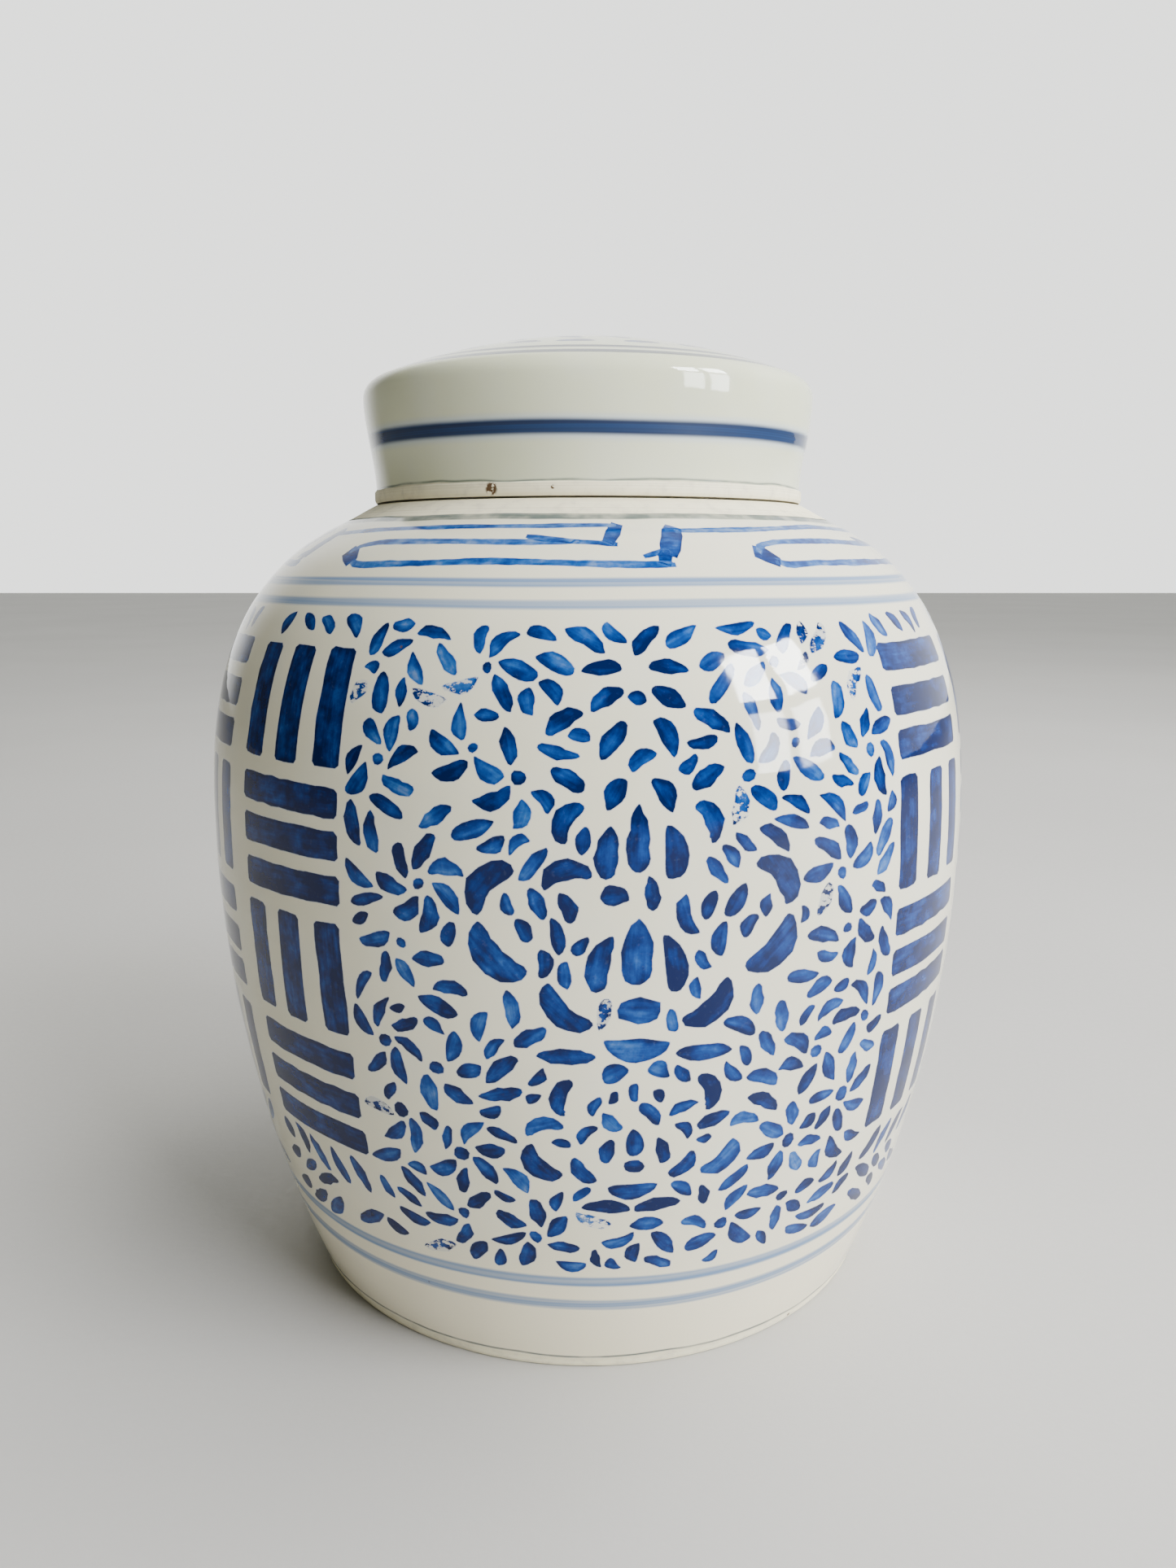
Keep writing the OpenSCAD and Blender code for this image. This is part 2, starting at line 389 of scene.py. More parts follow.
# ---------------------------------------------------------------- the leaf-scroll panel
# The flowers up the panel's middle: kind, offset from the middle, height, turn in degrees, length, width,
# bend, and where the mark is widest. Each one off the middle is painted on both sides.
FLOWERS = [
    ("bud", 0, 141.5, 90, 14.0, 4.8, 0.0, 0.34), ("leaf", 6.8, 138.6, 97, 10.6, 5.0, -1.0, 0.42),
    ("leaf", 5.4, 129.6, -6, 7.2, 5.0, 0.7, 0.5), ("leaf", 15.4, 133.4, -14, 11.6, 5.4, 2.4, 0.5),
    ("leaf", 5.2, 150.8, -60, 7.4, 4.0, 0.7, 0.45), ("leaf", 14.2, 144.8, -62, 8.4, 4.2, 1.8, 0.5),
    ("leaf", 31.0, 130.6, -52, 12.0, 6.2, 2.6, 0.5), ("leaf", 15.2, 126.6, 70, 6.6, 3.4, 0.3, 0.5),
    ("leaf", 21.6, 127.4, 62, 8.0, 3.6, -0.4, 0.5),
    ("bud", 0, 117.2, 90, 14.6, 6.8, 0.0, 0.34), ("leaf", 7.2, 114.4, 103, 12.2, 5.2, -1.2, 0.38),
    ("leaf", 12.6, 110.8, 80, 8.6, 4.0, -0.6, 0.42), ("leaf", 17.4, 119.0, -60, 11.0, 5.4, 2.6, 0.5),
    ("leaf", 29.8, 117.0, 48, 14.4, 7.2, -2.6, 0.5), ("leaf", 15.6, 104.8, 42, 13.0, 5.6, -2.2, 0.5),
    ("oval", 0, 104.0, 0, 9.2, 6.2, 0, 0), ("bowl", 0, 96.4, 0, 14.0, 5.4, 0, 0),
    ("leaf", 24.2, 105.6, -44, 10.0, 3.8, 0.2, 0.5), ("leaf", 15.4, 93.4, 1, 12.6, 3.9, 0.3, 0.5),
    ("leaf", 24.6, 121.4, 60, 5.8, 3.2, 0.3, 0.5), ("leaf", 23.2, 97.8, -28, 8.4, 3.6, 0.2, 0.5),
    ("leaf", 4.9, 88.9, -28, 5.8, 4.4, 0.4, 0.5), ("leaf", 0, 84.6, 90, 4.4, 2.2, 0, 0.5),
    ("leaf", 5.2, 83.2, -62, 3.6, 2.0, 0, 0.5), ("leaf", 0, 79.0, 0, 9.6, 3.4, 1.4, 0.5),
    ("leaf", 8.9, 80.8, -70, 4.8, 2.3, 0.2, 0.5), ("leaf", 16.0, 83.2, -75, 8.4, 4.2, 1.8, 0.5),
    ("bud", 0, 71.8, 90, 7.0, 3.6, 0, 0.4), ("leaf", 6.6, 69.4, 97, 6.4, 3.2, -0.5, 0.45),
    ("leaf", 11.4, 74.2, -55, 5.6, 2.8, 0.7, 0.5), ("leaf", 20.6, 75.4, -14, 9.4, 4.2, 1.8, 0.5),
    ("oval", 0, 65.2, 0, 5.2, 3.8, 0, 0), ("leaf", 11.4, 64.8, 52, 7.4, 3.6, -1.2, 0.5),
    ("leaf", 21.2, 66.0, 48, 9.8, 5.4, -2.0, 0.5), ("leaf", 16.4, 71.0, 12, 3.8, 2.0, 0, 0.5),
    ("bowl", 0, 59.6, 0, 11.0, 4.2, 0, 0), ("leaf", 12.0, 57.4, -40, 6.0, 2.8, 0.1, 0.5),
    ("leaf", 6.4, 53.6, 3, 10.8, 3.2, 0.2, 0.5), ("leaf", 17.6, 55.2, -80, 5.6, 2.7, 0.1, 0.5),
    ("leaf", 5.8, 162.4, -58, 8.8, 4.0, 0.5, 0.5), ("leaf", 7.0, 170.4, -32, 8.0, 3.5, 0.3, 0.5),
    ("leaf", 7.4, 176.8, -6, 8.0, 3.3, 0.2, 0.5), ("leaf", 2.8, 183.0, 50, 8.0, 3.2, 0.3, 0.5),
    ("leaf", 14.8, 154.0, 30, 8.0, 3.8, 0.3, 0.5), ("leaf", 16.0, 165.2, -28, 8.6, 3.8, 0.4, 0.5)]

# The eyes that the scroll's leaves spread from: offset from the middle, height, size of the dot, and
# swirl in degrees
EYES = [(24.5, 154.0, 3.0, 14), (47.6, 130.2, 2.6, 24), (51.6, 117.2, 2.6, -24), (59.0, 93.2, 3.1, 20),
        (45.6, 87.6, 2.9, -18), (56.0, 74.6, 3.4, 22), (40.2, 66.4, 3.4, 12), (23.2, 45.2, 2.9, -12),
        (41.4, 49.4, 2.7, 18), (34.0, 177.4, 2.1, 16), (58.4, 156.6, 2.8, -20), (2.5, 47.0, 0.0, 0),
        (62.5, 176.0, 0.0, 20), (35.6, 160.0, 2.1, 28)]

# The rings of leaves round each eye: the first one's radius, how far apart they are, and how many there are
RING_START = 6.9
RING_PITCH = 8.3
RING_COUNT = 5
LEAF_STEP = 5.3           # distance between leaves along a ring
LEAF_LEAN = 34.0          # how far the leaves of the outer rings turn away from the eye, in degrees

# What fills the places still bare: length of a mark and how many places are tried
FILLERS = [(9.0, 1500), (7.0, 1500), (5.4, 1200)]


def tone_at(x, s, rng):
    """How strong the cobalt is: it wanders slowly over the wall and jumps from stroke to stroke."""
    slow = math.sin(x / 31.0 + 1.3) * math.cos(s / 27.0 + x / 63.0)
    lower = float(np.interp(s, (70.0, 120.0, 165.0), (0.10, 0.08, -0.08)))
    return min(1.0, max(0.05, 0.62 + lower + 0.12 * slow + rng.gauss(0, 0.13)))


def flower_shape(kind, length, width, bend, belly, rng):
    if kind == "bud":
        return leaf(length, width, 0.0, belly, 0.0, 0.3, 10)
    if kind == "oval":
        return dot(length, width, 12)
    if kind == "bowl":
        return leaf(length, width, 0.0, 0.5, -0.7, 0.3, 10)
    if abs(bend) > 1:
        return leaf(length, width * 0.92, bend * 1.3, belly, 0.15, 0.5, 9)
    return leaf(length, width, bend, belly, rng.uniform(-0.2, 0.4), 0.5, 9)


def paint_flowers(canvas, rng):
    for kind, offset, s, degrees, length, width, bend, belly in FLOWERS:
        for side in ((1,) if offset == 0 else (1, -1)):
            outline, spine = flower_shape(kind, length, width, bend, belly, rng)
            turn = math.radians(degrees + rng.uniform(-4, 4))
            if side < 0:
                outline, spine = outline * (1, -1), spine * (1, -1)
                turn = math.pi - turn
            x = PANEL_X + side * offset + rng.uniform(-0.3, 0.3)
            tone = min(1.0, tone_at(x, s, rng) + 0.14)
            mark = Mark(shaky((outline, spine), rng), x, s + rng.uniform(-0.3, 0.3), turn, tone)
            if not canvas.add(mark):
                mark.outline, mark.spine = mark.outline * 0.86, mark.spine * 0.86
                canvas.add(mark)


def brush_leaf(canvas, x, s, turn, length, width, rng, box):
    """Tries a leaf, then a shorter, slimmer or shifted one, until it fits."""
    side = 1 if x > PANEL_X else -1
    ragged = (s > 166 and abs(x - PANEL_X) > 34) or (s < 52 and abs(x - PANEL_X) < 16)
    for scale, shift in ((1, 0), (0.9, 0.7), (0.8, -0.7), (0.7, 0)):
        bend = (side * 0.05 + rng.uniform(-0.06, 0.06)) * length * scale
        lean = rng.choice((-1, 1)) * rng.uniform(0.1, 0.6)
        blunt = rng.uniform(0.4, 0.75) if rng.random() < 0.6 else 0.2
        shape = leaf(length * scale, width * (0.5 + 0.5 * scale), bend, rng.uniform(0.42, 0.58), lean, blunt)
        px = x + math.cos(turn) * shift
        ps = s + math.sin(turn) * shift
        wide = length * scale / 2 * abs(math.cos(turn)) * 1.1
        tall = length * scale / 2 * abs(math.sin(turn))
        if px - wide < box[0] or px + wide > box[1] or ps - tall < box[2] or ps + tall > box[3]:
            continue
        dry = rng.uniform(0.75, 1.0) if rng.random() < (0.4 if ragged else 0.02) else 0.0
        mark = Mark(shaky(shape, rng), px, ps, turn + rng.uniform(-0.1, 0.1), tone_at(px, ps, rng), dry)
        if canvas.add(mark):
            return True
    return False


def paint_scroll(canvas, rng):
    """Leaves in swirling rings round the eyes, then smaller ones wherever the wall is still bare."""
    eyes = []
    for offset, s, size, swirl in EYES:
        for side in (1, -1):
            x = PANEL_X + side * offset + rng.uniform(-0.8, 0.8)
            s_eye = s + rng.uniform(-0.8, 0.8)
            if size:
                shape = shaky(dot(size * rng.uniform(0.9, 1.15), size * rng.uniform(0.85, 1.1)), rng)
                canvas.add(Mark(shape, x, s_eye, 0, tone_at(x, s_eye, rng)), clearance=0.9)
            eyes.append((x, s_eye, math.radians(side * swirl)))

    def nearest(x, s):
        return min(range(len(eyes)), key=lambda k: (eyes[k][0] - x) ** 2 + (eyes[k][1] - s) ** 2)

    box = (PANEL_X - PANEL_HALF, PANEL_X + PANEL_HALF, *PANEL_S)
    for ring in range(RING_COUNT):
        radius = RING_START + RING_PITCH * ring
        for k, (ex, es, swirl) in enumerate(eyes):
            turning = 1 if swirl >= 0 else -1
            lean = swirl + turning * math.radians(LEAF_LEAN) * min(1.0, ring / 2)
            count = round(TAU * radius / LEAF_STEP) if ring else 7
            for j in range(count):
                angle = swirl * 3 + TAU * (j + 0.5 * (ring % 2)) / count + rng.uniform(-0.5, 0.5) / radius
                x = ex + radius * math.cos(angle)
                s = es + radius * math.sin(angle)
                if (ring and nearest(x, s) != k) or rng.random() > 0.95:
                    continue
                length = rng.uniform(7.4, 9.2) if ring == 0 else rng.uniform(8.2, 9.8)
                brush_leaf(canvas, x, s, angle + lean + math.pi, length, rng.uniform(3.0, 3.9), rng, box)
    for size, tries in FILLERS:
        for _ in range(tries):
            x = rng.uniform(box[0], box[1])
            s = rng.uniform(box[2], box[3])
            ex, es, swirl = eyes[nearest(x, s)]
            turn = math.atan2(s - es, x - ex) + swirl + math.copysign(math.radians(LEAF_LEAN), swirl)
            probe = Mark(leaf(size * 0.7, 2.4), x, s, turn, 0.5)
            if canvas.room(probe):
                brush_leaf(canvas, x, s, turn, size, rng.uniform(2.5, 3.4), rng, box)


# ---------------------------------------------------------------- the columns of basket weave
def paint_columns(canvas, centre, rng):
    """Two columns of cells: three upright bars alternate with three level ones."""
    cells = 4
    gap = 4.6
    cell_h = (COLUMN_S[1] - COLUMN_S[0] - gap * (cells - 1)) / cells
    upright_w = 7.8
    level_w = 6.6
    for side in (-1, 1):
        middle = centre + side * (COLUMN_W + COLUMN_GAP) / 2
        for row in range(cells):
            s_mid = COLUMN_S[0] + cell_h / 2 + row * (cell_h + gap)
            squeeze = canvas.radius_at(s_mid) / BELLY_R
            for k in (-1, 0, 1):
                if (row + (side > 0)) % 2 == 0:
                    shape = bar(cell_h, upright_w)
                    x = middle + k * (COLUMN_W - upright_w / squeeze) / 2
                    s = s_mid
                    turn = math.pi / 2
                else:
                    shape = bar(COLUMN_W * squeeze, level_w)
                    x = middle
                    s = s_mid + k * (cell_h - level_w) / 2
                    turn = 0.0
                turn += math.radians(rng.uniform(-1.2, 1.2))
                tone = min(1.0, max(0.7, rng.gauss(0.86, 0.06)))
                shape = shaky(shape, rng, 0.11)
                x += rng.uniform(-0.3, 0.3)
                s += rng.uniform(-0.3, 0.3)
                canvas.add(Mark(shape, x, s, turn, tone), True)


def paint_garland(canvas, centre, rng):
    """Short strokes over the columns and rows of leaves under them."""
    width = 2 * COLUMN_W + COLUMN_GAP
    for k in (0, 1, 2, 3, 6, 7, 8, 9):
        x = centre + width * ((k + 0.5) / 10 - 0.5) + rng.uniform(-1, 1)
        turn = math.radians(rng.choice((-60, -40, 55, 70)) + rng.uniform(-8, 8))
        shape = leaf(6.6, rng.uniform(3.0, 3.6), 0.5, 0.5, rng.uniform(-0.5, 0.5))
        canvas.add(Mark(shaky(shape, rng), x, 185.4 + rng.uniform(-0.6, 0.6), turn, tone_at(x, 184, rng)))
    for row, (s0, lean) in enumerate(((53.6, 52), (46.4, -34), (38.8, -38))):
        x = centre - width / 2 - 2
        while x < centre + width / 2 + 3:
            turn = math.radians((lean if x < centre else 180 - lean) + rng.uniform(-12, 12))
            s = s0 + 1.4 * math.sin(x / 9.0 + row) + rng.uniform(-0.4, 0.4)
            for size in (10.2, 8.2, 6.2):
                shape = leaf(size, rng.uniform(3.1, 4.0), rng.uniform(-0.5, 0.5), 0.5, rng.uniform(-0.6, 0.6))
                if abs(x - centre) <= size / 2 + 1:
                    continue
                if canvas.add(Mark(shaky(shape, rng), x, s, turn, tone_at(x, s, rng))):
                    break
            x += 8.0


# ---------------------------------------------------------------- the key fret on the shoulder
def fret_strokes(start, rng):
    """One unit of the fret, as strokes: points along each, its width there and its tone."""
    def drawn(points, width, tone, swell=0.12):
        length = [0.0]
        for p, q in zip(points, points[1:]):
            length.append(length[-1] + math.dist(p, q))
        count = max(3, round(length[-1] / 2.6))
        t = np.linspace(0, length[-1], count)
        phase = rng.uniform(0, TAU)
        x = np.interp(t, length, [p[0] for p in points])
        s = np.interp(t, length, [p[1] for p in points]) + 0.22 * np.sin(t / 11.0 + phase)
        widths = width * (1 + swell * np.sin(t / 6.0 + phase * 2) + swell * rng.uniform(-0.5, 0.5))
        widths[0] *= 0.8
        widths[-1] *= 0.7
        return np.c_[start + x, s], widths, tone

    def jog(amount):
        return rng.uniform(-amount, amount)

    low = 202.3 + jog(0.3)
    middle = 209.9 + jog(0.3)
    high = 216.6 + jog(0.3)
    thin = 1.8
    return [drawn([(-75.6, low + 0.6), (-72, low - 0.7), (-60, low), (-30, low + 0.6), (24.0, low - 0.2)],
                  thin, 0.22),
            drawn([(21.0, low - 0.2), (22.8, low + 5.0)], 3.8, 0.58, 0.0),
            drawn([(15.8, 204.8), (18.0, 205.4), (21.4, 206.8)], 1.6, 0.32),
            drawn([(22.8, 205.2), (25.2, 210.4), (28.0, 216.6)], 6.4, 0.56, 0.05),
            drawn([(28, 214.4), (45, 215.2), (90, high + 0.6), (118, high + 0.2), (142.0, 217.2)],
                  thin, 0.18),
            drawn([(142.4, 217.8), (140.6, 213.6), (138.6, 209.6)], 4.6, 0.54, 0.05),
            drawn([(141.4, 208.8), (128, 210.2), (114, 212.4)], 1.7, 0.34),
            drawn([(130, middle), (90, middle + 0.5), (62, middle), (54.4, middle - 1.2), (52.0, 206.4)],
                  thin, 0.20),
            drawn([(50.8, 206.6), (54.2, 205.0), (57.4, 202.6)], 5.0, 0.60, 0.05)]


def fret_marks(seam, rng):
    """The fret all the way round, as marks that are cut where the surface has its seam."""
    unit = GIRTH / FRET_UNITS
    marks = []
    for k in range(FRET_UNITS):
        for points, widths, tone in fret_strokes(k * unit + rng.uniform(-1.0, 1.0) * (k > 0), rng):
            x = (points[:, 0] - seam) % GIRTH + seam
            clear = (x > seam + 1.2) & (x < seam + GIRTH - 1.2)
            breaks = np.flatnonzero(np.diff(x) * np.sign(points[-1, 0] - points[0, 0]) < -GIRTH / 2) + 1
            for part in np.split(np.arange(len(x)), breaks):
                part = part[clear[part]]
                if len(part) >= 3:
                    shape = ribbon(np.c_[x[part], points[part, 1]], widths[part])
                    marks.append(Mark(shaky(shape, rng, 0.06), 0, 0, 0, tone))
    return marks


# ---------------------------------------------------------------- from painted marks to a mesh
def inside(points, ring):
    """Which points lie inside a closed outline."""
    x = points[:, 0]
    y = points[:, 1]
    result = np.zeros(len(points), bool)
    for (x1, y1), (x2, y2) in zip(ring, np.roll(ring, -1, 0)):
        if y1 == y2:
            continue
        crosses = (y1 > y) != (y2 > y)
        result ^= crosses & (x < (x2 - x1) * (y - y1) / (y2 - y1) + x1)
    return result


class Patch:
    """Part of a surface in flat coordinates: points, what is painted at each, and faces over them."""

    # columns of paint: ink, pool, tone, dry, along the stroke, across it, the stroke's own number
    WIDTH = 7

    def __init__(self, flat, paint, faces, fixed):
        self.flat = flat
        self.paint = paint
        self.faces = faces
        self.fixed = fixed


def imprint(marks, border, grid, rng):
    """Cuts the outlines of marks into the area inside a border, so that the paint has edges of its own."""
    points = [border]
    paint = [np.zeros((len(border), Patch.WIDTH))]
    edges = [(k, (k + 1) % len(border)) for k in range(len(border))]
    count = len(border)
    rings = []
    for mark in marks:
        number = rng.random()
        for local, ink, pool in mark.rings():
            at = mark.place(local)
            size = len(at)
            points.append(at)
            rows = np.tile((ink, pool, mark.tone, mark.dry, 0, 0, number), (size, 1))
            rows[:, 4:6] = local
            paint.append(rows)
            edges += [(count + k, count + (k + 1) % size) for k in range(size)]
            count += size
        rings.append((mark.place(grown(mark.outline, 0.08)), mark.tone, mark.dry, number, mark))
    near = spread(np.vstack(points[1:]) if marks else np.zeros((0, 2)), edges, len(border), np.vstack(points))
    free = grid[~near_any(grid, near, 1.0)]
    rows = np.zeros((len(free), Patch.WIDTH))
    paint.append(rows)
    points.append(free)
    flat = np.vstack(points)
    paint = np.vstack(paint)
    cover(flat, paint, rings)
    made = delaunay_2d_cdt([Vector(p) for p in flat.tolist()], edges, [], 0, 1e-4)
    out_flat = np.array([tuple(v) for v in made[0]])
    out_paint = np.zeros((len(out_flat), Patch.WIDTH))
    fresh = []
    fixed = np.zeros(len(out_flat), bool)
    for k, source in enumerate(made[3]):
        if source:
            out_paint[k] = paint[source[0]]
            out_flat[k] = flat[source[0]]
            fixed[k] = source[0] < len(border)
        else:
            fresh.append(k)
    if fresh:
        part = np.zeros((len(fresh), Patch.WIDTH))
        cover(out_flat[fresh], part, rings)
        out_paint[fresh] = part
    return Patch(out_flat, out_paint, [tuple(f) for f in made[2]], fixed)


def spread(at, edges, skip, points):
    """Places along every outline, close enough together to keep other points away from it."""
    pairs = np.array([e for e in edges if e[0] >= skip])
    if not len(pairs):
        return at
    return np.vstack([at, (points[pairs[:, 0]] + points[pairs[:, 1]]) / 2])


def near_any(points, others, reach):
    """Which points lie within reach of any of the others, found through a table of small squares."""
    cell = reach
    table = {}
    for k, key in enumerate(map(tuple, np.floor(others / cell).astype(int))):
        table.setdefault(key, []).append(k)
    result = np.zeros(len(points), bool)
    for k, (i, j) in enumerate(np.floor(points / cell).astype(int)):
        found = [m for a in (-1, 0, 1) for b in (-1, 0, 1) for m in table.get((i + a, j + b), ())]
        if found:
            away = others[found] - points[k]
            result[k] = (away[:, 0] ** 2 + away[:, 1] ** 2).min() < reach * reach
    return result


def cover(flat, paint, rings):
    """Inks every point that lies within a mark, which matters where strokes cross."""
    for outline, tone, dry, number, mark in rings:
        low = outline.min(0)
        high = outline.max(0)
        at = np.flatnonzero(((flat > low) & (flat < high) & (paint[:, :1] < 0.5)).all(1))
        if not len(at):
            continue
        at = at[inside(flat[at], outline)]
        away = flat[at] - (mark.x, mark.s)
        away[:, 0] /= mark.stretch
        c = math.cos(mark.turn)
        d = math.sin(mark.turn)
        paint[at, 0] = 1.0
        paint[at, 1] = 0.15
        paint[at, 2] = tone
        paint[at, 3] = dry
        paint[at, 4] = away[:, 0] * c + away[:, 1] * d
        paint[at, 5] = away[:, 1] * c - away[:, 0] * d
        paint[at, 6] = number


def rectangle(x0, x1, columns, levels):
    """The border of a stretch of unrolled wall, anticlockwise."""
    xs = np.linspace(x0, x1, columns + 1)
    bottom = np.c_[xs[:-1], np.full(columns, levels[0])]
    top = np.c_[xs[:0:-1], np.full(columns, levels[-1])]
    right = np.c_[np.full(len(levels) - 1, x1), levels[:-1]]
    left = np.c_[np.full(len(levels) - 1, x0), levels[:0:-1]]
    return np.vstack([bottom, right, top, left])


def lattice(x0, x1, s0, s1, step, rng):
    """Loosely scattered points that keep the wall round between the marks."""
    xs = np.arange(x0 + step, x1 - step / 2, step)
    ss = np.arange(s0 + step, s1 - step / 2, step)
    at = np.array([(x + (step / 2) * (j % 2), s) for j, s in enumerate(ss) for x in xs])
    at = at[at[:, 0] < x1 - step / 2]
    return at + np.array([(rng.uniform(-0.3, 0.3), rng.uniform(-0.3, 0.3)) for _ in at])


def turned(section, start, end, seam):
    """A plain turned stretch of the section, as a patch of quads."""
    rows = section.rows(start, end)
    xs = seam + np.arange(COLUMNS + 1) * GIRTH / COLUMNS
    flat = np.array([(x, p) for p in rows for x in xs])
    wide = COLUMNS + 1
    faces = []
    for j in range(len(rows) - 1):
        for k in range(COLUMNS):
            a = j * wide + k
            faces.append((a, a + 1, a + wide + 1, a + wide))
    return Patch(flat, np.zeros((len(flat), Patch.WIDTH)), faces, np.ones(len(flat), bool))


def uneven_jar(theta, path):
    """How far the thrown wall strays from true, in mm. It fades out at the seat and the foot."""
    fade = np.clip(path / 16, 0, 1) * np.clip((212 - path) / 16, 0, 1)
    slow = 0.13 * np.sin(2 * theta + 0.7 + path / 90) + 0.07 * np.sin(3 * theta + 2.1 - path / 60)
    rings = 0.03 * np.sin(path / 5.2 + 1.5 * np.sin(theta)) + 0.02 * np.sin(path / 2.9 + theta)
    return fade * (slow + rings + 0.05 * np.sin(5 * theta + path / 33))


def uneven_lid(theta, path):
    """The same for the lid, which has faint rings from the turning of its dome."""
    fade = np.clip(path / 10, 0, 1) * np.clip((86 - path) / 8, 0, 1)
    return fade * (0.07 * np.sin(2 * theta + 2.0) + 0.04 * np.sin(3 * theta + path / 21)
                   + 0.018 * np.sin(path / 2.4 + theta))


def on_surface(section, uneven, theta, path):
    """Positions and normals of places on a turned surface."""
    r, z, nr, nz = section.at(path)
    e = 0.4
    off = uneven(theta, path)
    climb = (uneven(theta, path + e) - uneven(theta, path - e)) / (2 * e)
    sweep = (uneven(theta + 0.01, path) - uneven(theta - 0.01, path)) / 0.02 / np.maximum(r, 5)
    tr = -nz * section.side
    tz = nr * section.side
    wide = r + nr * off
    height = z + nz * off
    mr = nr - tr * climb
    mz = nz - tz * climb
    sin = np.sin(theta)
    cos = np.cos(theta)
    place = np.c_[wide * sin, -wide * cos, height]
    normal = np.c_[mr * sin - sweep * cos, -mr * cos - sweep * sin, mz]
    return place, normal / np.linalg.norm(normal, axis=1)[:, None]


def build(name, section, uneven, patches, sheet_cells):
    """One closed mesh from patches, with the painting kept as attributes of its points."""
    flats = []
    paints = []
    keys = {}
    index = []
    corners = []
    cells = []
    total = 0
    for number, patch in enumerate(patches):
        local = []
        radius = section.at(patch.flat[:, 1])[0]
        for k, (x, path) in enumerate(patch.flat.tolist()):
            key = None
            if radius[k] < 1e-6:
                key = ("axis", round(path, 2))
            elif patch.fixed[k]:
                key = (column_key(x), round(path, 2))
            if key is not None and key in keys:
                local.append(keys[key])
                continue
            if key is not None:
                keys[key] = total
            local.append(total)
            flats.append((x, path))
            paints.append(patch.paint[k])
            total += 1
        for face in patch.faces:
            merged = [local[v] for v in face]
            kept = [k for k in range(len(face)) if merged[k] != merged[k - 1]]
            if len(kept) < 3:
                continue
            index.append([merged[k] for k in kept])
            corners.append([tuple(patch.flat[face[k]]) for k in kept])
            cells.append(number)
    flat = np.array(flats)
    paint = np.array(paints)
    place, normal = on_surface(section, uneven, flat[:, 0] / BELLY_R, flat[:, 1])
    for k, face in enumerate(index):
        a, b, c = place[face[0]], place[face[1]], place[face[2]]
        if np.dot(np.cross(b - a, c - a), normal[face[0]] + normal[face[1]] + normal[face[2]]) < 0:
            index[k] = face[::-1]
            corners[k] = corners[k][::-1]
    mesh = bpy.data.meshes.new(name)
    mesh.from_pydata((place * MM).tolist(), [], index)
    mesh.update()
    mesh.shade_smooth()
    mesh.normals_split_custom_set_from_vertices(normal.tolist())
    for title, columns in (("paint", (0, 1, 2)), ("stroke", (4, 5, 6))):
        layer = mesh.attributes.new(title, "FLOAT_VECTOR", "POINT")
        layer.data.foreach_set("vector", paint[:, columns].astype(np.float32).ravel())
    for title, values in (("dry", paint[:, 3]), ("path", flat[:, 1])):
        layer = mesh.attributes.new(title, "FLOAT", "POINT")
        layer.data.foreach_set("value", values.astype(np.float32))
    uv = mesh.uv_layers.new(name="OFBake")
    where = []
    for number, ring in zip(cells, corners):
        cell = sheet_cells[number]
        where += [sheet_place(cell, x, path) for x, path in ring]
    uv.data.foreach_set("uv", np.array(where, np.float32).ravel())
    return add_object(name, mesh)


def add_object(name, data):
    obj = bpy.data.objects.new(name, data)
    bpy.context.scene.collection.objects.link(obj)
    return obj


def column_key(x):
    """The column that a place stands on, or where it is round the jar if it stands on none."""
    share = (x % GIRTH) / GIRTH * COLUMNS
    if abs(share - round(share)) < 1e-3:
        return round(share) % COLUMNS
    return round(x % GIRTH, 2)


def sheet_place(cell, x, path):
    """Where a place on the surface goes on the baked sheet.

    A cell is its corner, its size and what it shows. One with no x1 shows a disc, seen from above."""
    u0, v0, wide, tall, x0, x1, p0, p1 = cell
    if x1 is None:
        radius = (path - p0) / (p1 - p0) / 2
        angle = x / BELLY_R
        return (u0 + wide * (0.5 + radius * math.sin(angle)), v0 + tall * (0.5 - radius * math.cos(angle)))
    return (u0 + wide * (x - x0) / (x1 - x0), v0 + tall * (path - p0) / (p1 - p0))


